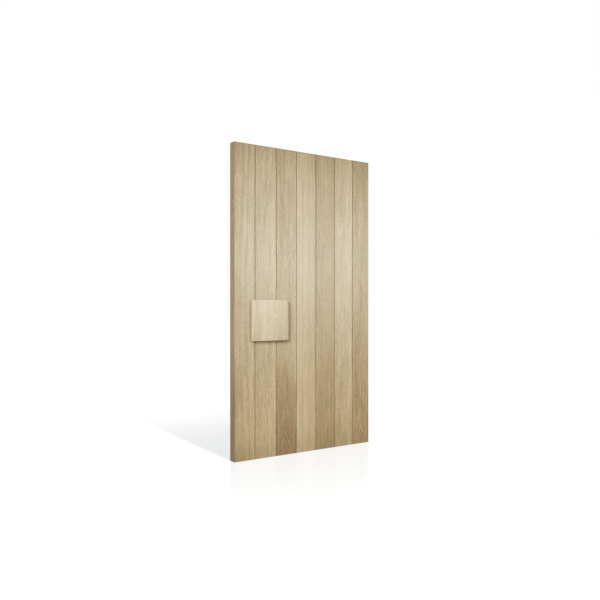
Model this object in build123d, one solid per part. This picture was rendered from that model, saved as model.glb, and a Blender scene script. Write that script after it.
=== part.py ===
from build123d import *
import os

# A front door leaf of upright oak boards on a mortised core frame, with a square block pull back to back on
# its two faces and butt hinges at its right edge. +X points to the hinge edge, -Y to the outside, +Z up.
# The origin is at the middle of the leaf's foot. All lengths are in millimetres.

# Leaf
leaf_width = 1250.0
leaf_height = 2300.0
leaf_thickness = 70.0
arris = 2.0  # bevel along the outer corners of both faces

# Face boards: those between the two edge boards share the rest of the width
board_count = 7
board_thickness = 14.0
edge_board_width = 170.0
board_gap = 1.0  # room for a board to swell
joint_bevel_width = 3.2  # on each side of a V joint
joint_bevel_depth = 3.4
tongue_length = 8.0
tongue_thickness = 4.0
tongue_clearance = 0.2
tongue_end_clearance = 1.0

# Core frame
stile_width = 120.0
top_rail_height = 140.0
middle_rail_height = 220.0
bottom_rail_height = 220.0
mortise_wall = 58.0  # wood left between a mortise's floor and the leaf's edge
tenon_thickness = 14.0
tenon_shoulder = 20.0
tenon_clearance = 0.2
tenon_end_clearance = 1.5
insulation_clearance = 0.5

# Block pulls
pull_from_joint = 63.0  # middle of the pull to the far joint of the second board
pull_level = 1014.5
plate_width = 316.0
plate_height = 303.0
plate_thickness = 22.0  # at the crown of the dome
plate_dome_radius = 4000.0
plate_corner_radius = 10.0
plate_front_round = 4.0
plate_bevel_width = 34.0  # finger bevel round the back
plate_bevel_depth = 8.0
boss_size = 140.0
boss_depth = 6.0
boss_corner_radius = 4.0

# Fixings of the pulls
stud_radius = 5.0
stud_inset = 25.0  # boss's edge to the stud's axis
stud_end_clearance = 2.0
stud_hole_clearance = 0.5
insert_radius = 7.5
insert_length = 17.0
insert_clearance = 0.1
plate_screw_inset = 20.0  # boss's edges to the screw's axis
plate_screw_grip = 12.0  # into the plate

# Countersunk screws
screw_radius = 2.4
screw_head_radius = 4.7
screw_clearance = 0.2
screw_end_clearance = 2.0
socket_radius = 1.7
socket_depth = 1.6

# Hinges
hinge_count = 4
hinge_height = 102.0
hinge_top_inset = 180.0  # head of the leaf to the middle of the top hinge
hinge_foot_inset = 230.0  # foot of the leaf to the middle of the bottom hinge
hinge_gap = 3.0  # between the closed wings
hinge_clearance = 0.3  # around a wing in its seat
hinge_screw_length = 40.0
wing_thickness = 3.0
wing_reach = 51.0  # pin axis to the wing's far edge
wing_corner_radius = 6.0
wing_screw_edge = 9.0  # wing's far edge to its first line of screws
wing_screw_stagger = 13.0  # from that line to the second one
wing_screw_inset = 12.0  # wing's ends to the end screws
wing_screw_middle_share = 1 / 3  # spacing of the middle screws against that of the end screws
pin_radius = 4.0
pin_clearance = 0.1
tip_inset = 1.4  # button's rim inside the barrel's
tip_height = 3.0
tip_round = 1.6
barrel_wall = 2.9
barrel_from_face = 1.5  # inside face of the leaf to the barrel
barrel_clearance = 0.5  # between a barrel and the other wing's plate
knuckle_count = 5
knuckle_gap = 0.4
ring_inset = 0.3  # ring's rim inside the barrel's
ring_height = 5.0
ring_clearance = 0.3

# How far every cutter runs past the face that it cuts
overrun = 5.0

# Places that several pieces share
half_width = leaf_width / 2
half_thickness = leaf_thickness / 2
half_core = half_thickness - board_thickness
half_opening = half_width - stile_width
board_pitch = (leaf_width - 2 * edge_board_width) / (board_count - 2)
inner_joints = [(step - board_count / 2) * board_pitch for step in range(1, board_count)]
pull_x = inner_joints[1] - pull_from_joint
barrel_radius = pin_radius + pin_clearance + barrel_wall
pin_x = half_width + hinge_gap / 2
pin_y = half_thickness + barrel_from_face + barrel_radius
wing_edge_y = pin_y - barrel_radius - barrel_clearance
screw_head_depth = screw_head_radius - screw_radius
rails = {
    "bottom_rail": (0, bottom_rail_height),
    "middle_rail": (pull_level - middle_rail_height / 2, middle_rail_height),
    "top_rail": (leaf_height - top_rail_height, top_rail_height),
}
hinge_span = leaf_height - hinge_top_inset - hinge_foot_inset
hinge_levels = [hinge_foot_inset + hinge_span * step / (hinge_count - 1) for step in range(hinge_count)]
stud_offset = boss_size / 2 - stud_inset
stud_levels = [pull_level - stud_offset, pull_level + stud_offset]
plate_screw_length = boss_depth + plate_screw_grip
on_base = (Align.CENTER, Align.CENTER, Align.MIN)


def block(low, high):
    """A box between two opposite corners."""
    size = [far - near for near, far in zip(low, high)]
    return Pos(*low) * Box(*size, align=(Align.MIN, Align.MIN, Align.MIN))


def one(shapes):
    """Several separate solids as one group."""
    return Compound([solid for shape in shapes for solid in shape.solids()])


def facing(origin, side):
    """A plane at a point of one face of the leaf, its normal pointing out of that face and its y axis up."""
    return Plane(origin=origin, x_dir=(-side, 0, 0), z_dir=(0, side, 0))


def wood_screw(length):
    """A countersunk screw with its head's face at the origin, pointing down, and a six-sided socket."""
    shank = Pos(0, 0, -length) * Cylinder(screw_radius, length - screw_head_depth, align=on_base)
    head = Cone(screw_radius, screw_head_radius, screw_head_depth, align=on_base)
    socket = extrude(RegularPolygon(socket_radius, 6), amount=-socket_depth)
    return shank + Pos(0, 0, -screw_head_depth) * head - socket


def screw_hole(length):
    """The countersunk hole that such a screw passes through and ends in."""
    hole_radius = screw_radius + screw_clearance
    depth = length + screw_end_clearance
    mouth_radius = screw_head_radius + screw_clearance
    straight = Pos(0, 0, -depth) * Cylinder(hole_radius, depth, align=on_base)
    mouth = Cone(hole_radius, mouth_radius, screw_head_depth, align=on_base)
    return straight + Pos(0, 0, -screw_head_depth) * mouth


def hinge_screw_places(side, level):
    """Planes for one wing's screws, their normals facing the other wing: side -1 is the leaf's, 1 the jamb's.

    The screws are in two staggered pairs, the other way round on the jamb's wing, so none face each other.
    """
    face_x = pin_x + side * hinge_gap / 2
    far_y = pin_y - wing_reach + wing_screw_edge
    lines = (far_y, far_y + wing_screw_stagger)
    end_offset = hinge_height / 2 - wing_screw_inset
    offsets = (end_offset, end_offset * wing_screw_middle_share)
    return [
        Plane(origin=(face_x, y, level + way * offset), x_dir=(0, 1, 0), z_dir=(-side, 0, 0))
        for y, offset in zip(lines[::-side], offsets)
        for way in (-1, 1)
    ]


def wing_plate(x_low, x_high, edge_y, level, margin):
    """The flat of a hinge wing, its two far corners rounded; a margin makes it the seat for one."""
    foot = level - hinge_height / 2 - margin
    head = level + hinge_height / 2 + margin
    plate = block((x_low, pin_y - wing_reach - margin, foot), (x_high, edge_y, head))
    far_corners = plate.edges().filter_by(Axis.X).group_by(Axis.Y)[0]
    return fillet(far_corners, wing_corner_radius + margin)


def wing_seats():
    """What is cut out of the leaf's edge for the wings and their screws."""
    cut = []
    for level in hinge_levels:
        seat_y = half_thickness + overrun
        floor_x = half_width - wing_thickness
        cut.append(wing_plate(floor_x, half_width + overrun, seat_y, level, hinge_clearance))
        cut += [place * screw_hole(hinge_screw_length) for place in hinge_screw_places(-1, level)]
    return cut


def stud_holes():
    """The two clearance holes right through the leaf for the studs that clamp the pulls."""
    bore = Cylinder(stud_radius + stud_hole_clearance, leaf_thickness + 2 * overrun)
    return [Pos(pull_x, 0, level) * Rot(90, 0, 0) * bore for level in stud_levels]


def end_bevels(side):
    """Wedges that take the arris off one face of the leaf at its head and its foot."""
    face_y = side * half_thickness
    wedges = []
    for end_z, way in ((0, -1), (leaf_height, 1)):
        outer_y = face_y + side * overrun
        outer_z = end_z + way * overrun
        inner_y = face_y - side * (arris + overrun)
        inner_z = end_z - way * (arris + overrun)
        corners = ((0, outer_y, outer_z), (0, inner_y, outer_z), (0, outer_y, inner_z))
        wedge = make_face(Polyline(*corners, close=True))
        wedges.append(extrude(wedge, amount=leaf_width, dir=(1, 0, 0), both=True))
    return wedges


def board_section(left, right, is_first, is_last):
    """A board's section as points across and up from its back: tongue right, groove left, bevelled face."""
    middle = (board_thickness - joint_bevel_depth) / 2
    tongue = (middle - tongue_thickness / 2, middle + tongue_thickness / 2)
    groove = (tongue[0] - tongue_clearance, tongue[1] + tongue_clearance)
    groove_end = left + tongue_length - board_gap + tongue_end_clearance
    left_bevel = (arris, arris) if is_first else (joint_bevel_width, joint_bevel_depth)
    right_bevel = (arris, arris) if is_last else (joint_bevel_width, joint_bevel_depth)
    points = [(left, 0), (right, 0)]
    if not is_last:
        tip = right + tongue_length
        points += [(right, tongue[0]), (tip, tongue[0]), (tip, tongue[1]), (right, tongue[1])]
    points += [(right, board_thickness - right_bevel[1]), (right - right_bevel[0], board_thickness)]
    points += [(left + left_bevel[0], board_thickness), (left, board_thickness - left_bevel[1])]
    if not is_first:
        points += [(left, groove[1]), (groove_end, groove[1]), (groove_end, groove[0]), (left, groove[0])]
    return points


def face_boards(side):
    """The boards of one face, from the lock edge to the hinge edge; side is -1 outside and 1 inside."""
    joints = [-half_width] + inner_joints + [half_width]
    cutters = end_bevels(side) + stud_holes()
    boards = []
    for number in range(board_count):
        is_first = number == 0
        is_last = number == board_count - 1
        left = joints[number] if is_first else joints[number] + board_gap / 2
        right = joints[number + 1] if is_last else joints[number + 1] - board_gap / 2
        section = board_section(left, right, is_first, is_last)
        outline = [(across, side * (half_core + up)) for across, up in section]
        blank = extrude(make_face(Polyline(*outline, close=True)), amount=leaf_height, dir=(0, 0, 1))
        is_hung = is_last and side == 1
        boards.append(blank - cutters - wing_seats() if is_hung else blank - cutters)
    return boards


def rail(low, height):
    """A rail between the stiles, with a tenon at each end."""
    core = block((-half_opening, -half_core, low), (half_opening, half_core, low + height))
    tip = half_width - mortise_wall - tenon_end_clearance
    half_tenon = tenon_thickness / 2
    tenon_low = (-tip, -half_tenon, low + tenon_shoulder)
    tenon_high = (tip, half_tenon, low + height - tenon_shoulder)
    return core + block(tenon_low, tenon_high)


def stile(side):
    """An upright of the core frame, mortised for each rail; side is -1 at the lock and 1 at the hinges."""
    edges = sorted((side * half_opening, side * half_width))
    body = block((edges[0], -half_core, 0), (edges[1], half_core, leaf_height))
    half_mortise = tenon_thickness / 2 + tenon_clearance
    floor = half_width - mortise_wall
    across = sorted((side * (half_opening - overrun), side * floor))
    for low, height in rails.values():
        foot = low + tenon_shoulder - tenon_clearance
        head = low + height - tenon_shoulder + tenon_clearance
        body -= block((across[0], -half_mortise, foot), (across[1], half_mortise, head))
    return body


def insulation(low, high):
    """A panel that fills the core between two rails."""
    reach = half_opening - insulation_clearance
    depth = half_core - insulation_clearance
    return block((-reach, -depth, low + insulation_clearance), (reach, depth, high - insulation_clearance))


def plate_screw_places(side):
    """Planes for the screws out through a boss into its plate, their normals pointing into the leaf."""
    offset = boss_size / 2 - plate_screw_inset
    face_y = side * half_thickness
    return [
        Plane(origin=(pull_x + x, face_y, pull_level + z), x_dir=(side, 0, 0), z_dir=(0, -side, 0))
        for x in (-offset, offset)
        for z in (-offset, offset)
    ]


def plate_section(width):
    """A plate's section across one of its sizes, its back bevelled at both ends."""
    half = width / 2
    half_back = half - plate_bevel_width
    back = [(-half_back, 0), (half_back, 0), (half, plate_bevel_depth)]
    front = [(half, plate_thickness), (-half, plate_thickness), (-half, plate_bevel_depth)]
    return make_face(Polyline(*back, *front, close=True))


def pull_plate(side):
    """The grip of a pull: a block with a slightly domed front and a finger bevel, screwed on from behind."""
    blank = extrude(RectangleRounded(plate_width, plate_height, plate_corner_radius), amount=plate_thickness)
    blank &= extrude(Plane.XZ * plate_section(plate_width), amount=plate_height, both=True)
    blank &= extrude(Plane.YZ * plate_section(plate_height), amount=plate_width, both=True)
    domed = blank & Pos(0, 0, plate_thickness - plate_dome_radius) * Rot(90, 0, 0) * Sphere(plate_dome_radius)
    front = domed.faces().sort_by(Axis.Z)[-1]
    domed = fillet(front.edges(), plate_front_round)
    placed = facing((pull_x, side * (half_thickness + boss_depth), pull_level), side) * domed
    return placed - pull_bores(side)


def pull_boss(side):
    """The square block that holds a pull's plate off the boards."""
    block_out = extrude(RectangleRounded(boss_size, boss_size, boss_corner_radius), amount=boss_depth)
    placed = facing((pull_x, side * half_thickness, pull_level), side) * block_out
    return placed - pull_bores(side)


def pull_bores(side):
    """The holes through a boss into its plate for the inserts and the screws."""
    bore = Cylinder(insert_radius + insert_clearance, insert_length + insert_clearance, align=on_base)
    bores = [facing((pull_x, side * half_thickness, level), side) * bore for level in stud_levels]
    return bores + [place * screw_hole(plate_screw_length) for place in plate_screw_places(side)]


def insert(side, level):
    """A threaded sleeve through a boss into its plate, flush with the boss's back."""
    sleeve = Cylinder(insert_radius, insert_length, align=on_base)
    bore = Cylinder(stud_radius + insert_clearance, insert_length + overrun, align=on_base)
    return facing((pull_x, side * half_thickness, level), side) * (sleeve - bore)


def stud(level):
    """A rod right through the leaf, with an end in each pull."""
    length = leaf_thickness + 2 * (insert_length - stud_end_clearance)
    return Pos(pull_x, 0, level) * Rot(90, 0, 0) * Cylinder(stud_radius, length)


def knuckle_spans(level):
    """The ends of each knuckle of a hinge, from its foot up; every second joint holds a ring."""
    ring_seat = ring_height + ring_clearance
    gaps = [knuckle_gap if joint % 2 else ring_seat for joint in range(knuckle_count - 1)]
    length = (hinge_height - sum(gaps)) / knuckle_count
    spans = []
    low = level - hinge_height / 2
    for gap in gaps + [0]:
        spans.append((low, low + length))
        low += length + gap
    return spans


def hinge_wing(side, level):
    """A wing with its knuckles: side -1 is let into the leaf and has the even ones, side 1 is the jamb's."""
    x_low, x_high = sorted((pin_x + side * hinge_gap / 2, pin_x + side * (hinge_gap / 2 + wing_thickness)))
    wing = wing_plate(x_low, x_high, wing_edge_y, level, 0)
    first = 0 if side == 1 else 1
    for low, high in knuckle_spans(level)[first::2]:
        wing += block((x_low, wing_edge_y, low), (x_high, pin_y, high))
        wing += Pos(pin_x, pin_y, low) * Cylinder(barrel_radius, high - low, align=on_base)
    bore = Pos(pin_x, pin_y, level) * Cylinder(pin_radius + pin_clearance, hinge_height + 2 * overrun)
    holes = [place * screw_hole(hinge_screw_length) for place in hinge_screw_places(side, level)]
    return wing - bore - holes


def hinge_pin(level):
    """A pin through all knuckles with a rounded button on each end."""
    shaft = Pos(pin_x, pin_y, level) * Cylinder(pin_radius, hinge_height)
    tip = Cylinder(barrel_radius - tip_inset, tip_height, align=on_base)
    rim = tip.edges().sort_by(Axis.Z)[-1]
    tip = fillet(rim, tip_round)
    head = Pos(pin_x, pin_y, level + hinge_height / 2) * tip
    foot = Pos(pin_x, pin_y, level - hinge_height / 2) * Rot(180, 0, 0) * tip
    return shaft + head + foot


def bearing_rings(level):
    """The rings that carry the leaf's knuckles, each lying on a knuckle of the jamb's wing."""
    sleeve = Cylinder(barrel_radius - ring_inset, ring_height, align=on_base)
    bore = Cylinder(pin_radius + pin_clearance, ring_height + overrun, align=on_base)
    return [Pos(pin_x, pin_y, high) * (sleeve - bore) for low, high in knuckle_spans(level)[0:-1:2]]


def leaf_nodes():
    """Every piece of the leaf by its name."""
    nodes = {}
    for side, face in ((-1, "outer"), (1, "inner")):
        for number, board in enumerate(face_boards(side), 1):
            nodes[f"{face}_board_{number}"] = board
        nodes[f"{face}_pull_plate"] = pull_plate(side)
        nodes[f"{face}_pull_boss"] = pull_boss(side)
    nodes["lock_stile"] = stile(-1)
    nodes["hinge_stile"] = stile(1) - wing_seats()
    for name, (low, height) in rails.items():
        nodes[name] = rail(low, height)
    nodes["middle_rail"] -= stud_holes()
    middle_low, middle_height = rails["middle_rail"]
    nodes["lower_insulation"] = insulation(bottom_rail_height, middle_low)
    nodes["upper_insulation"] = insulation(middle_low + middle_height, leaf_height - top_rail_height)
    sides = (-1, 1)
    nodes["pull_studs"] = one([stud(level) for level in stud_levels])
    nodes["pull_inserts"] = one([insert(side, level) for side in sides for level in stud_levels])
    plate_places = [place for side in sides for place in plate_screw_places(side)]
    nodes["pull_screws"] = one([place * wood_screw(plate_screw_length) for place in plate_places])
    for number, level in enumerate(hinge_levels, 1):
        nodes[f"leaf_wing_{number}"] = hinge_wing(-1, level)
    wing_places = [place for level in hinge_levels for place in hinge_screw_places(-1, level)]
    nodes["leaf_wing_screws"] = one([place * wood_screw(hinge_screw_length) for place in wing_places])
    return nodes


def jamb_nodes():
    """Every piece that stays with the jamb by its name."""
    nodes = {}
    for number, level in enumerate(hinge_levels, 1):
        nodes[f"jamb_wing_{number}"] = hinge_wing(1, level)
        nodes[f"hinge_pin_{number}"] = hinge_pin(level)
        nodes[f"bearing_rings_{number}"] = one(bearing_rings(level))
    return nodes


os.makedirs("parts", exist_ok=True)
for name, shape in (leaf_nodes() | jamb_nodes()).items():
    export_step(shape, f"parts/{name}.step")
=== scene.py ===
import math

import bpy
import numpy as np
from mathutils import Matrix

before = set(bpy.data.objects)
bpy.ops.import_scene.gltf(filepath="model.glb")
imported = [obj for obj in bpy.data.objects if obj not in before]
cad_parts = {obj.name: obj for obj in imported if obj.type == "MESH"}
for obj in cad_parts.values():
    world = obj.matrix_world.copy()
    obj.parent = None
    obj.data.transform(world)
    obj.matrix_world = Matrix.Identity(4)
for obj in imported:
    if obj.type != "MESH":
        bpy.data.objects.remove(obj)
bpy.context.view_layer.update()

# Core frame: two oak stiles and three oak rails, planed square, mortised and tenoned and glued up.
# Only the outer edges of the stiles and the two ends of the frame are seen, between the face boards.
# The finish is oil; sawn ends drink more of it and go darker, and the sides go darker partly so and partly as
# painted shade.
# Painted shade also darkens the foot, both ends and the V joints near the head; a painted sheen of white lies
# on the faces about hand height.


def add(tree, kind, inputs, **settings):
    """One node of a finish; inputs gives each socket a number, a colour or another node's output."""
    made = tree.nodes.new("ShaderNode" + kind)
    for name, value in settings.items():
        setattr(made, name, value)
    for name, value in inputs.items():
        if isinstance(value, bpy.types.NodeSocket):
            tree.links.new(value, made.inputs[name])
        else:
            made.inputs[name].default_value = value
    return made


def reckon(tree, operation, *values, clamp=False):
    """The output of one sum on numbers."""
    made = add(tree, "Math", dict(enumerate(values)), operation=operation, use_clamp=clamp)
    return made.outputs["Value"]


def between(tree, value, low, high):
    """Rises smoothly from 0 where the value is at low to 1 where it is at high."""
    inputs = {"Value": value, "From Min": low, "From Max": high}
    return add(tree, "MapRange", inputs, interpolation_type="SMOOTHSTEP").outputs["Result"]


def new_finish(name):
    """A finish with its node tree, its shader and the place on the piece, in metres."""
    made = bpy.data.materials.new(name)
    made.use_nodes = True
    tree = made.node_tree
    return made, tree, tree.nodes["Principled BSDF"], add(tree, "TexCoord", {})


def put_on(finish, *names):
    """Gives a finish to pieces of the frame by their names."""
    for name in names:
        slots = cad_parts[name].data.materials
        slots.clear()
        slots.append(finish)


OAK_TONES = (
    (0.00, (0.200, 0.122, 0.042)),
    (0.28, (0.290, 0.193, 0.078)),
    (0.50, (0.377, 0.273, 0.133)),
    (0.72, (0.456, 0.351, 0.198)),
    (1.00, (0.552, 0.447, 0.285)),
)
# The colour of sawn edges and end grain, which the painted shade also darkens towards.
SAWN_EDGE_AND_SHADE = (0.150, 0.090, 0.034, 1)
HALF_HEIGHT = 1.15
RING_WIDTH = 0.0027
# Painted sheen: where the white veil standing in for a lamp's reflection is thickest, how far it reaches, and
# how much the sides lose.
SHEEN_HEIGHT, SHEEN_REACH = 1.50, 0.62
SHEEN_OFF_SIDES = 0.75
PAINTED_JOINT_SHADE = 0.34


def oak(name, heart, lean=(0.0, 0.0), bow=0.0, seed=0.0, head=0.0, foot=0.0, reach=1.1,
        across=(0.0, 0.09, 0.0), wander=0.03, band=0.22, grain=0.9, ray=0.0, edge=0.45, side_foot_shade=0.0, foot_shade=0.16,
        painted_sheen=0.0, gloss=0.38, flame=None, streaks=()):
    """Sawn and oiled oak cut out of a log, with painted sheen and painted shade.

    heart is where the log's axis passes the foot of the piece, lean how far it tips about x and y, and bow
    how much it bends: x moves by bow times the squared height from the middle. The distance to that axis,
    shaken by slow noise, is the growth radius. Broad bands and thin late lines are noise along the radius,
    rings are its remainder after the ring width, and pores are dashes along the trunk in each ring's early
    wood. Streaks, fibres and hairs are noise drawn out along the trunk, and the hairs are the finest.
    head and foot shift the tone at the top and at the foot, reach is the height where the head's tone is
    met, across is a tone slope (middle, half width, shift), flame a nest of upturned Vs (x, top,
    half width, shift) and each streak a soft stripe (x, half width, low, high, shift, drift per metre).
    edge is how far the sides of the piece darken, partly as oiled side grain and partly as painted shade.
    side_foot_shade is painted shade by which the sides darken more towards the foot, and foot_shade painted
    shade over the whole foot. painted_sheen is a painted sheen of white about hand height, where a lamp's
    reflection
    would lie: it thins out above and below as 1 over 1 plus the squared distance, and the sides and joints
    keep little of it.
    """
    made, tree, shader, coordinates = new_finish(name)
    place = coordinates.outputs["Object"]
    axes = add(tree, "SeparateXYZ", {"Vector": place}).outputs

    def noise(scale, detail=2.0, source=place, shift=seed):
        """Noise stretched by a scale for each axis."""
        spot = add(tree, "Mapping", {"Vector": source, "Location": (shift, 0, shift), "Scale": scale})
        inputs = {"Vector": spot.outputs[0], "Scale": 1.0, "Detail": detail, "Roughness": 0.55}
        return add(tree, "TexNoise", inputs)

    def along(value, scale, shift, detail=1.0):
        """Noise along one value."""
        spot = reckon(tree, "MULTIPLY_ADD", value, scale, shift)
        made = add(tree, "TexNoise", {"W": spot, "Scale": 1.0, "Detail": detail}, noise_dimensions="1D")
        return made.outputs[0]

    from_middle = reckon(tree, "ADD", axes["Z"], -HALF_HEIGHT)
    bowed = reckon(tree, "MULTIPLY", reckon(tree, "MULTIPLY", from_middle, from_middle), -bow)
    straight = add(tree, "VectorMath", {0: place, 1: add(tree, "CombineXYZ", {"X": bowed}).outputs[0]})
    slow = add(tree, "VectorMath", {0: noise((6, 6, 1.3)).outputs["Color"], 1: (wander * 2,) * 3,
                                    2: straight.outputs[0]}, operation="MULTIPLY_ADD")
    shaken = add(tree, "VectorMath", {0: noise((16, 16, 3.5)).outputs["Color"], 1: (wander / 2,) * 3,
                                      2: slow.outputs[0]}, operation="MULTIPLY_ADD")
    log = add(tree, "Mapping", {"Vector": shaken.outputs[0], "Location": heart, "Rotation": (*lean, 0)},
              vector_type="TEXTURE").outputs[0]
    trunk = add(tree, "VectorMath", {0: log, 1: (1, 1, 0)}, operation="MULTIPLY")
    radius = add(tree, "VectorMath", {0: trunk.outputs[0]}, operation="LENGTH").outputs["Value"]

    broad = along(radius, 34.0, seed)
    fine = along(radius, 130.0, seed + 3.7, detail=3.0)
    off_line = reckon(tree, "ABSOLUTE", reckon(tree, "ADD", along(radius, 26.0, seed + 1.9), -0.5))
    late = between(tree, off_line, 0.15, 0.02)
    uneven = reckon(tree, "MULTIPLY", fine, 2.0)
    ring = reckon(tree, "FRACT", reckon(tree, "MULTIPLY_ADD", radius, 1 / RING_WIDTH, uneven))
    early = between(tree, ring, 0.5, 0.0)
    streaky = noise((165, 165, 4), 3.0, log).outputs[0]
    fibres = noise((260, 260, 44), 2.0, log).outputs[0]
    hairs = noise((820, 820, 11), 2.0, log).outputs[0]
    cloud = noise((9, 9, 3.5), 1.0).outputs[0]
    strength = between(tree, noise((16, 16, 3.0), 1.0, shift=seed + 7).outputs[0], 0.38, 0.62)
    dashes = between(tree, noise((1150, 1150, 30), 1.0).outputs[0], 0.55, 0.66)
    pores = reckon(tree, "MULTIPLY", dashes, early)

    tone = reckon(tree, "MULTIPLY_ADD", between(tree, axes["Z"], 0.0, reach), head - foot, 0.5 + foot)
    middle, half, shift = across
    slope = shift / half
    tone = reckon(tree, "MULTIPLY_ADD", axes["X"], slope, reckon(tree, "ADD", tone, -middle * slope))
    swings = ((broad, band), (fine, band), (streaky, grain), (fibres, grain * 0.85), (hairs, grain * 0.6),
              (cloud, 0.16))
    for swing, most in swings:
        tone = reckon(tree, "ADD", tone, reckon(tree, "MULTIPLY_ADD", swing, most, -most / 2))
    tone = reckon(tree, "MULTIPLY_ADD", reckon(tree, "MULTIPLY", late, strength), -0.10, tone)
    tone = reckon(tree, "MULTIPLY_ADD", early, -0.07, reckon(tree, "ADD", tone, 0.05))
    # Painted shade: each piece darkens near its top and near its foot.
    shaded_ends = between(tree, reckon(tree, "ABSOLUTE", from_middle), 0.93, HALF_HEIGHT)
    tone = reckon(tree, "MULTIPLY_ADD", shaded_ends, -0.12, tone)
    head_end = between(tree, from_middle, 1.134, 1.149)
    tone = reckon(tree, "MULTIPLY_ADD", head_end, -0.16, tone)
    for x, width, low, high, most, drift in streaks:
        line = reckon(tree, "MULTIPLY_ADD", axes["Z"], drift, x - drift * (low + high) / 2)
        off = reckon(tree, "ABSOLUTE", reckon(tree, "SUBTRACT", axes["X"], line))
        off_middle = reckon(tree, "ABSOLUTE", reckon(tree, "ADD", axes["Z"], -(low + high) / 2))
        patch = reckon(tree, "MULTIPLY", between(tree, off, width, width * 0.15),
                       between(tree, off_middle, (high - low) / 2, (high - low) / 5))
        tone = reckon(tree, "MULTIPLY_ADD", patch, most, tone)
    if flame:
        x, top, width, most = flame
        bent = add(tree, "SeparateXYZ", {"Vector": shaken.outputs[0]}).outputs
        off = reckon(tree, "ABSOLUTE", reckon(tree, "ADD", bent["X"], -x - 1.25 * wander))
        nest = along(reckon(tree, "MULTIPLY_ADD", off, 2.4, bent["Z"]), 30.0, seed, 2.0)
        patch = reckon(tree, "MULTIPLY", between(tree, off, width * 1.6, width * 0.6),
                       between(tree, axes["Z"], top, top * 0.45))
        sharp = reckon(tree, "ADD", between(tree, nest, 0.36, 0.64), -0.5)
        tone = reckon(tree, "MULTIPLY_ADD", reckon(tree, "MULTIPLY", sharp, patch), most, tone)
    if ray:
        ray_place = add(tree, "Mapping", {"Vector": place, "Rotation": (0, 0.5, 0), "Scale": (28, 9, 190)})
        fleck = add(tree, "TexNoise", {"Vector": ray_place.outputs[0], "Scale": 1.0, "Detail": 2.0})
        tone = reckon(tree, "MULTIPLY_ADD", between(tree, fleck.outputs[0], 0.58, 0.7), ray, tone)

    ramp = add(tree, "ValToRGB", {"Fac": tone})
    stops = ramp.color_ramp.elements
    for position, _ in OAK_TONES[1:-1]:
        stops.new(position)
    for stop, (position, colour) in zip(stops, OAK_TONES):
        stop.position = position
        stop.color = (*colour, 1)

    facing = add(tree, "SeparateXYZ", {"Vector": coordinates.outputs["Normal"]}).outputs
    end_grain = between(tree, reckon(tree, "ABSOLUTE", facing["Z"]), 0.3, 0.7)
    side_grain = between(tree, reckon(tree, "ABSOLUTE", facing["X"]), 0.5, 0.75)
    shade = reckon(tree, "MULTIPLY_ADD", pores, 0.45, reckon(tree, "MULTIPLY", end_grain, 0.38))
    # Painted shade in the V joints, deepening towards the head.
    slanted = between(tree, reckon(tree, "ABSOLUTE", facing["Y"]), 0.3, 0.6)
    shaded_joint = reckon(tree, "MULTIPLY", side_grain, slanted)
    shaded_joint = reckon(tree, "MULTIPLY", shaded_joint, between(tree, axes["Z"], 1.75, 2.25))
    shade = reckon(tree, "MULTIPLY_ADD", shaded_joint, PAINTED_JOINT_SHADE, shade)
    # Painted shade darkens the foot and, more towards the foot, the sides; edge darkens the sides partly as
    # oiled grain, partly as painted shade.
    shade = reckon(tree, "MULTIPLY_ADD", between(tree, axes["Z"], 0.32, 0.0), foot_shade, shade)
    oiled_and_shaded_sides = reckon(tree, "MULTIPLY_ADD", between(tree, axes["Z"], 1.0, 0.15), side_foot_shade, edge)
    shade = reckon(tree, "MULTIPLY_ADD", side_grain, oiled_and_shaded_sides, shade, clamp=True)
    coloured = add(tree, "MixRGB", {"Fac": shade, "Color1": ramp.outputs["Color"], "Color2": SAWN_EDGE_AND_SHADE})
    # Painted sheen: white added about hand height, where a lamp's reflection lies, thinning above and below
    # and kept mostly off the sides and joints.
    from_sheen_middle = reckon(tree, "MULTIPLY_ADD", axes["Z"], 1 / SHEEN_REACH, -SHEEN_HEIGHT / SHEEN_REACH)
    white = reckon(tree, "DIVIDE", painted_sheen, reckon(tree, "MULTIPLY_ADD", from_sheen_middle, from_sheen_middle, 1.0))
    kept = reckon(tree, "MULTIPLY_ADD", side_grain, -SHEEN_OFF_SIDES, 1.0)
    white = reckon(tree, "MULTIPLY", white, kept)
    sheen_painted = add(tree, "MixRGB", {"Fac": white, "Color1": coloured.outputs["Color"], "Color2": (1, 1, 1, 1)},
                blend_type="ADD")
    tree.links.new(sheen_painted.outputs["Color"], shader.inputs["Base Color"])

    polish = reckon(tree, "MULTIPLY_ADD", streaky, 0.10, 0.38)
    polish = reckon(tree, "MULTIPLY_ADD", pores, 0.22, polish)
    tree.links.new(reckon(tree, "MULTIPLY_ADD", end_grain, 0.2, polish), shader.inputs["Roughness"])
    depth = reckon(tree, "MULTIPLY_ADD", early, -0.25, reckon(tree, "MULTIPLY", pores, -0.75))
    bump = add(tree, "Bump", {"Height": depth, "Strength": 0.35, "Distance": 0.0003})
    tree.links.new(bump.outputs["Normal"], shader.inputs["Normal"])
    shader.inputs["IOR"].default_value = 1.5
    shader.inputs["Specular IOR Level"].default_value = gloss
    return made


# The lock stile's outer edge is the leaf's left side; its strong darkening towards the foot is painted shade.
put_on(oak("lock_stile_oak", (-0.86, 0.02, 0), lean=(0.0, 0.012), seed=31.0, head=-0.07, foot=-0.65,
           reach=0.9, edge=0.45, side_foot_shade=0.3, foot_shade=1.0, gloss=0.2), "lock_stile")
put_on(oak("hinge_stile_oak", (0.92, -0.03, 0), lean=(0.0, -0.01), seed=47.0, head=-0.02, foot=-0.04),
       "hinge_stile")


def rail_oak(name, level, seed):
    """Oak of a rail, whose log lies along x: the growth radius is reckoned about a lying axis."""
    return oak(name, (0, 0.22, level), lean=(0.0, math.pi / 2), seed=seed)


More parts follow.
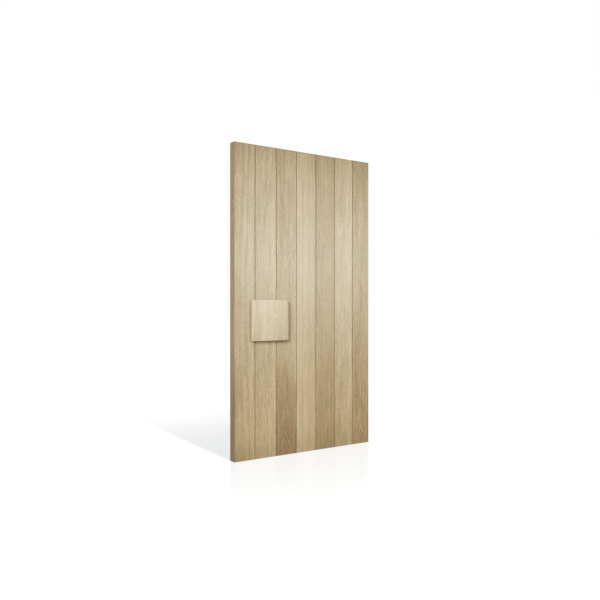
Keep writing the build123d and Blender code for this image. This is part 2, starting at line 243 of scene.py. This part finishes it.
put_on(rail_oak("top_rail_oak", 2.05, 12.0), "top_rail")
put_on(rail_oak("middle_rail_oak", 0.9, 15.0), "middle_rail")
put_on(rail_oak("bottom_rail_oak", 0.05, 19.0), "bottom_rail")

# Insulation: two stiff panels of pressed wood fibre that fill the core between the stiles and rails.
# They are cut with a saw and laid in dry, and are seen only when the boards are off.

fibre, tree, shader, coordinates = new_finish("pressed_wood_fibre")
strand_place = add(tree, "Mapping", {"Vector": coordinates.outputs["Object"], "Scale": (300, 300, 900)})
strands = add(tree, "TexNoise", {"Vector": strand_place.outputs[0], "Scale": 1.0, "Detail": 5.0})
fibre_tones = add(tree, "ValToRGB", {"Fac": strands.outputs[0]})
fibre_tones.color_ramp.elements[0].color = (0.16, 0.10, 0.055, 1)
fibre_tones.color_ramp.elements[1].color = (0.46, 0.33, 0.20, 1)
tree.links.new(fibre_tones.outputs["Color"], shader.inputs["Base Color"])
fibre_bump = add(tree, "Bump", {"Height": strands.outputs[0], "Strength": 0.8, "Distance": 0.001})
tree.links.new(fibre_bump.outputs["Normal"], shader.inputs["Normal"])
shader.inputs["Roughness"].default_value = 0.95
put_on(fibre, "lower_insulation", "upper_insulation")

# Outer boards: seven solid oak boards, tongued and grooved, with a small V planed along each joint.
# Each is sawn from its own log, so every board has its own tone, slope of grain and figure.
# They are glued and pinned to the core frame from behind the tongues.

joints = [-0.625, -0.455, -0.273, -0.091, 0.091, 0.273, 0.455, 0.625]
middles = [(left + right) / 2 for left, right in zip(joints, joints[1:])]

# Each board's painted_sheen is painted sheen; board 1's side_foot_shade is painted shade on its side towards
# the foot.
put_on(oak("outer_oak_1", painted_sheen=0.142, heart=(-0.86, 0.10, 0), bow=0.022, seed=1.3, head=0.01, foot=-0.06,
           edge=0.45, side_foot_shade=0.8, across=(middles[0], 0.085, 0.07),
           streaks=((-0.545, 0.02, 0.75, 1.75, -0.06, 0.05),)), "outer_board_1")
put_on(oak("outer_oak_2", painted_sheen=0.146, heart=(-0.72, 0.12, 0), bow=0.022, seed=5.1, head=0.07, foot=0.03,
           across=(middles[1], 0.09, 0.06),
           streaks=((-0.375, 0.022, 1.3, 2.2, -0.08, 0.05), (-0.30, 0.03, 1.2, 2.3, 0.06, 0.0))),
       "outer_board_2")
put_on(oak("outer_oak_3", painted_sheen=0.122, heart=(-0.182, 0.075, 0.2), lean=(0.03, 0.004), seed=9.4, head=0.07,
           foot=-0.42, reach=0.95, gloss=0.30, across=(middles[2], 0.09, 0.03),
           flame=(-0.185, 0.40, 0.045, 0.32), streaks=((-0.225, 0.022, 1.2, 2.35, -0.10, 0.0),)),
       "outer_board_3")
put_on(oak("outer_oak_4", painted_sheen=0.154, heart=(0.40, 0.10, 0), lean=(0.0, 0.006), seed=14.2, head=0.11,
           foot=0.09, band=0.12, grain=0.6, across=(middles[3], 0.09, -0.05), ray=0.05,
           streaks=((0.08, 0.02, 0.0, 2.3, -0.08, 0.0),)), "outer_board_4")
put_on(oak("outer_oak_5", painted_sheen=0.124, heart=(-0.32, 0.06, 0), lean=(0.0, 0.003), seed=18.8, head=-0.03,
           foot=-0.23, grain=0.75, gloss=0.33, across=(middles[4], 0.09, 0.0)), "outer_board_5")
put_on(oak("outer_oak_6", painted_sheen=0.142, heart=(-0.10, 0.09, 0), lean=(0.0, 0.012), seed=23.5, head=0.12,
           foot=-0.04, across=(middles[5], 0.09, 0.06), streaks=((0.405, 0.03, 0.9, 2.1, 0.06, 0.01),)),
       "outer_board_6")
put_on(oak("outer_oak_7", painted_sheen=0.122, heart=(0.55, 0.085, 0.1), lean=(0.02, 0.0), seed=28.9, head=-0.03,
           foot=-0.22, gloss=0.32, across=(middles[6], 0.085, -0.02), flame=(0.54, 0.60, 0.045, 0.26),
           streaks=((0.545, 0.045, 1.5, 2.15, 0.13, 0.0),)), "outer_board_7")

# Inner boards: the same seven boards on the room side, sawn from other logs.
# They carry the same V joints, so the leaf looks alike from both sides.

inner_cuts = (
    (0.30, 0.030, 0.02, -0.06, 0.05),
    (-0.28, 0.012, 0.08, 0.03, -0.04),
    (0.24, -0.020, -0.08, -0.14, 0.03),
    (-0.35, 0.006, 0.05, 0.08, 0.05),
    (0.33, -0.008, -0.02, -0.16, -0.03),
    (-0.26, 0.022, 0.12, 0.02, 0.06),
    (0.27, 0.010, -0.05, -0.10, -0.04),
)
# The inner boards' painted_sheen is painted sheen, as on the outer boards.
for number, (to_heart, slant, head, foot, slope) in enumerate(inner_cuts, 1):
    middle = middles[number - 1]
    put_on(oak(f"inner_oak_{number}", painted_sheen=0.13, heart=(middle + to_heart, -0.09, 0), lean=(0.0, slant),
               seed=50 + 4.3 * number, head=head, foot=foot, across=(middle, 0.09, slope)),
           f"inner_board_{number}")

# Block pulls: on each face a square oak block stands on a smaller square boss, so that fingers go behind it.
# The block is one wide board with a slightly crowned front and eased corners, screwed on from behind.

pull_middle = -0.336
# Each block's painted_sheen is painted sheen, and its middle streak a painted highlight: lighter down the
# middle, darker at the sides, as on a lit crowned front.
for face, front, seed in (("outer", 0.07, 62.0), ("inner", -0.07, 66.0)):
    put_on(oak(f"{face}_pull_oak", painted_sheen=0.15, heart=(pull_middle - 0.34, front, 0), lean=(0.0, 0.03),
               seed=seed, head=0.20, foot=-0.12, across=(pull_middle, 0.15, -0.03), edge=0.0,
               streaks=((pull_middle - 0.01, 0.14, 0.7, 1.4, 0.20, 0.0),)), f"{face}_pull_plate")
    put_on(oak(f"{face}_boss_oak", (pull_middle - 0.3, front, 0), seed=seed + 1.7, head=0.0, foot=-0.05),
           f"{face}_pull_boss")

# Pull fixings: two steel studs go through the leaf into threaded brass sleeves in the backs of the bosses.
# Countersunk steel screws hold each block on its boss. All of them are hidden once the pulls are on.


def turned_metal(name, colour, roughness, grain):
    """Drawn or turned metal: fine lines round or along the piece change its gloss and its colour a little."""
    made, tree, shader, coordinates = new_finish(name)
    line_place = add(tree, "Mapping", {"Vector": coordinates.outputs["Object"], "Scale": grain})
    lines = add(tree, "TexNoise", {"Vector": line_place.outputs[0], "Scale": 1.0, "Detail": 3.0})
    smear_place = add(tree, "Mapping", {"Vector": coordinates.outputs["Object"], "Scale": (60, 60, 45)})
    smear = add(tree, "TexNoise", {"Vector": smear_place.outputs[0], "Scale": 1.0, "Detail": 2.0})
    tones = add(tree, "ValToRGB", {"Fac": lines.outputs[0]})
    tones.color_ramp.elements[0].color = (*[part * 0.82 for part in colour], 1)
    tones.color_ramp.elements[1].color = (*[min(part * 1.12, 1) for part in colour], 1)
    tree.links.new(tones.outputs["Color"], shader.inputs["Base Color"])
    dull = reckon(tree, "MULTIPLY_ADD", lines.outputs[0], 0.12, roughness - 0.12)
    dull = reckon(tree, "MULTIPLY_ADD", smear.outputs[0], 0.12, dull)
    tree.links.new(dull, shader.inputs["Roughness"])
    bump = add(tree, "Bump", {"Height": lines.outputs[0], "Strength": 0.15, "Distance": 0.0002})
    tree.links.new(bump.outputs["Normal"], shader.inputs["Normal"])
    shader.inputs["Metallic"].default_value = 1.0
    return made


put_on(turned_metal("zinc_stud", (0.56, 0.57, 0.58), 0.4, (900, 60, 900)), "pull_studs")
put_on(turned_metal("turned_brass", (0.72, 0.52, 0.24), 0.32, (200, 900, 200)), "pull_inserts")
put_on(turned_metal("screw_steel", (0.58, 0.57, 0.55), 0.34, (500, 500, 500)), "pull_screws",
       "leaf_wing_screws")

# Hinges: four stainless butt hinges let into the leaf's hinge edge, each with a loose pin.
# The wings are punched sheet with rolled knuckles, brushed along their height; rings carry the knuckles.

put_on(turned_metal("brushed_stainless", (0.50, 0.495, 0.485), 0.36, (900, 900, 14)),
       *[f"{side}_wing_{number}" for side in ("leaf", "jamb") for number in range(1, 5)])
put_on(turned_metal("polished_pin", (0.66, 0.65, 0.63), 0.24, (40, 40, 1400)),
       *[f"hinge_pin_{number}" for number in range(1, 5)])
put_on(turned_metal("hardened_ring", (0.30, 0.295, 0.29), 0.38, (60, 60, 1600)),
       *[f"bearing_rings_{number}" for number in range(1, 5)])

# Studio: a pale paper floor with a faint gloss, which keeps the leaf's shadow and a trace of its image.
# Three daylight lamps and a long sheen card light the leaf alone, and the room's own light is warm.
# A tall narrow fan of lamps lights the floor alone: the shadow is a wedge that fades with distance.

scene = bpy.context.scene
scene.view_settings.view_transform = "Standard"

floor_half, floor_level = 40.0, -0.0002
across_floor, along_floor = np.meshgrid(np.linspace(-1, 1, 9), np.linspace(-1, 1, 9))
floor_points = np.stack([across_floor * floor_half, along_floor * floor_half,
                         np.full_like(across_floor, floor_level)], axis=-1).reshape(-1, 3)
corner = (np.arange(8)[:, None] * 9 + np.arange(8)).ravel()
floor_mesh = bpy.data.meshes.new("floor")
tiles = np.stack([corner, corner + 1, corner + 10, corner + 9], axis=1)
floor_mesh.from_pydata(floor_points.tolist(), [], tiles.tolist())
floor = bpy.data.objects.new("floor", floor_mesh)
scene.collection.objects.link(floor)


def seen_rays(tree):
    """1 for rays that the camera sees by, straight, mirrored or through glass, and 0 for the others."""
    path = add(tree, "LightPath", {}).outputs
    bent = reckon(tree, "MAXIMUM", path["Is Glossy Ray"], path["Is Transmission Ray"])
    return reckon(tree, "MAXIMUM", path["Is Camera Ray"], bent)


paper, tree, shader, coordinates = new_finish("pale_floor")
seen = seen_rays(tree)
PAPER_GLOW, PAPER_SHINE = 0.75, 0.16
glow = reckon(tree, "MULTIPLY", seen, PAPER_GLOW)
tree.nodes.remove(shader)
PAPER, PAPER_SEEN = (0.172, 0.159, 0.142, 1), (0.15, 0.176, 0.255, 1)
paper_tone = add(tree, "MixRGB", {"Fac": seen, "Color1": PAPER, "Color2": PAPER_SEEN})
matt = add(tree, "BsdfDiffuse", {"Color": paper_tone.outputs["Color"]})
lit = add(tree, "Emission", {"Color": (1, 1, 1, 1), "Strength": glow})
both = add(tree, "AddShader", {0: matt.outputs[0], 1: lit.outputs[0]})
drawn_in = {0: coordinates.outputs["Object"], 1: (0.6, 1.0, 0.0)}
from_leaf = add(tree, "VectorMath", drawn_in, operation="MULTIPLY").outputs[0]
distance = add(tree, "VectorMath", {0: from_leaf}, operation="LENGTH").outputs["Value"]
fade = reckon(tree, "MULTIPLY", between(tree, distance, 1.8, 0.2), PAPER_SHINE)
gloss = add(tree, "BsdfGlossy", {"Color": (0.87, 0.93, 1, 1), "Roughness": 0.22})
mixed = add(tree, "MixShader", {0: fade, 1: both.outputs[0], 2: gloss.outputs[0]})
tree.links.new(mixed.outputs[0], tree.nodes["Material Output"].inputs["Surface"])
floor.data.materials.append(paper)

world = bpy.data.worlds.new("studio")
scene.world = world
world.use_nodes = True
tree = world.node_tree
seen = seen_rays(tree)
room = tree.nodes["Background"]
WARM_ROOM = (0.51, 0.435, 0.30, 1)
walls = add(tree, "MixRGB", {"Fac": seen, "Color1": WARM_ROOM, "Color2": (1, 1, 1, 1)})
tree.links.new(walls.outputs["Color"], room.inputs["Color"])
room.inputs["Strength"].default_value = 1.0


def aim(holder, place, target):
    """Stands a lamp or the camera at a place and turns its -z axis to a target."""
    away = np.subtract(place, target)
    level = math.hypot(away[0], away[1])
    holder.location = place
    holder.rotation_euler = (math.atan2(level, away[2]), 0.0, math.atan2(away[0], -away[1]))


def lamp(name, kind, place, target, energy, **settings):
    """A lamp that the camera doesn't see itself."""
    made = bpy.data.objects.new(name, bpy.data.lights.new(name, kind))
    made.data.energy = energy
    for setting, value in settings.items():
        setattr(made.data, setting, value)
    aim(made, place, target)
    made.visible_camera = False
    scene.collection.objects.link(made)
    return made


def sun_place(azimuth, elevation):
    """A point 6 m from the leaf: its angle from straight in front (left is negative) and its elevation."""
    turn, rise = math.radians(azimuth), math.radians(elevation)
    return (6 * math.sin(turn) * math.cos(rise), -6 * math.cos(turn) * math.cos(rise), 6 * math.sin(rise))


leaf_only = bpy.data.collections.new("leaf_only")
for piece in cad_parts.values():
    leaf_only.objects.link(piece)
DAYLIGHT = (0.73, 0.835, 1.0)
key_lamp = lamp("key_lamp", "SUN", sun_place(-60, 24), (0, 0, 0), 4.32, angle=math.radians(18),
                color=DAYLIGHT)
front_lamp = lamp("front_lamp", "SUN", sun_place(0, 45), (0, 0, 0), 0.9, angle=math.radians(60),
                  color=DAYLIGHT)
back_lamp = lamp("back_lamp", "SUN", sun_place(138, 36), (0, 0, 0), 4.9, angle=math.radians(40),
                 color=DAYLIGHT)
sheen_card = lamp("sheen_card", "AREA", (2.83, -4.1, 1.72), (2.83, 0, 1.72), 134, shape="RECTANGLE",
                  size=4.6, size_y=0.8)
sheen_card.visible_diffuse = False
key_lamp.visible_glossy = False
back_lamp.visible_glossy = False
for made in (key_lamp, front_lamp, back_lamp, sheen_card):
    made.light_linking.receiver_collection = leaf_only
floor_only = bpy.data.collections.new("floor_only")
floor_only.objects.link(floor)
FAN_MIDDLE, FAN_SPREAD, FAN_LEVEL = 58, 11, 0.68
LAMPLIGHT = (1.0, 0.853, 0.588)
for rise in range(34, 83, 4):
    share = math.exp(-((rise - FAN_MIDDLE) / FAN_SPREAD) ** 2 / 2)
    level = FAN_LEVEL * share / math.sin(math.radians(rise))
    floor_lamp = lamp(f"floor_lamp_{rise}", "SUN", sun_place(-1, rise), (0, 0, 0), level,
                      angle=math.radians(3), color=LAMPLIGHT)
    floor_lamp.light_linking.receiver_collection = floor_only

camera = bpy.data.objects.new("camera", bpy.data.cameras.new("camera"))
camera.data.sensor_width = 36.0
camera.data.lens = 38.7
camera.data.shift_y = 0.009
eye = (-2.832, -4.116, 1.125)
aim(camera, eye, (eye[0] + 0.5621, eye[1] + 0.8271, eye[2]))
scene.collection.objects.link(camera)
scene.camera = camera
